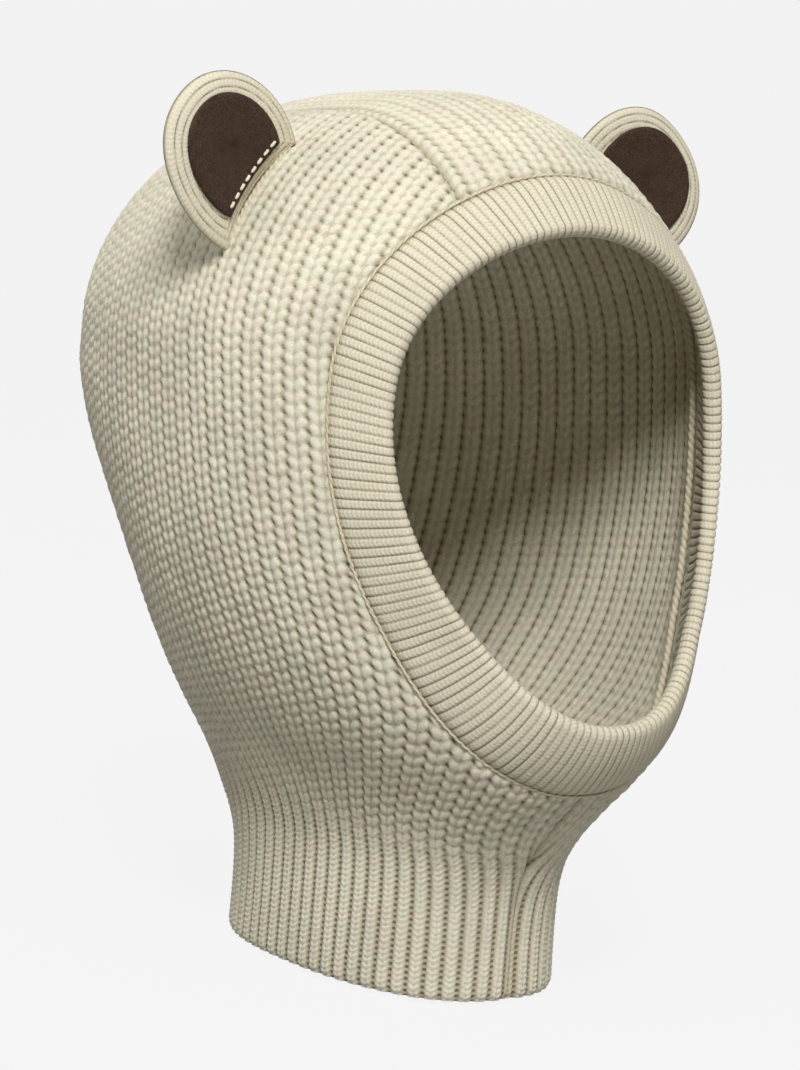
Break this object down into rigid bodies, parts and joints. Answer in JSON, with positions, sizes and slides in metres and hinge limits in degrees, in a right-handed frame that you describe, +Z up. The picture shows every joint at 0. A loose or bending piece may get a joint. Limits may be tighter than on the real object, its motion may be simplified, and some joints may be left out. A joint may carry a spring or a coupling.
{
  "type": "balaclava",
  "caption": "Child's knitted balaclava with a round face opening, ribbed neck and padded bear ears with felt inserts.",
  "frame": {"origin": "centre of the box of the whole piece, at the level of the flat neck hem that it stands on", "axes": "+Z up out of the neck hem, -Y out of the face opening, +X to the wearer's left"},
  "size_m": [0.1978, 0.2293, 0.2537],
  "materials": {
    "half_cardigan_knit": "oatmeal wool blend, half-cardigan knit",
    "fine_rib": "oatmeal wool blend, fine one by one rib",
    "brown_felt": "dark brown wool felt",
    "seam_yarn": "oatmeal overlocking yarn, fuzzy",
    "topstitch_thread": "off-white sewing thread"
  },
  "bodies": {
    "hood": {"side_panel_right": "half_cardigan_knit", "side_panel_left": "half_cardigan_knit", "crown_panel": "half_cardigan_knit", "face_band": "fine_rib", "crown_seam_right": "seam_yarn", "crown_seam_left": "seam_yarn", "front_neck_seam": "seam_yarn", "back_neck_seam": "seam_yarn", "band_linking_seam": "seam_yarn", "ear_root_seam_right": "seam_yarn", "ear_root_seam_left": "seam_yarn"},
    "ear_right": {"ear_back_right": "fine_rib", "ear_front_right": "fine_rib", "ear_felt_right": "brown_felt", "ear_topstitch_right": "topstitch_thread"},
    "ear_left": {"ear_back_left": "fine_rib", "ear_front_left": "fine_rib", "ear_felt_left": "brown_felt", "ear_topstitch_left": "topstitch_thread"}
  },
  "joints": [
    {"name": "ear_right_flop", "type": "hinge", "parent": "hood", "child": "ear_right", "pos_m": [-0.0655, -0.01586, 0.22087], "axis": [0.6503, 0.1701, 0.7404], "range_deg": [-28, 35], "stiffness_Nm_per_rad": 0.05},
    {"name": "ear_left_flop", "type": "hinge", "parent": "hood", "child": "ear_left", "pos_m": [0.0655, -0.01586, 0.22087], "axis": [0.6503, -0.1701, -0.7404], "range_deg": [-28, 35], "stiffness_Nm_per_rad": 0.05}
  ]
}
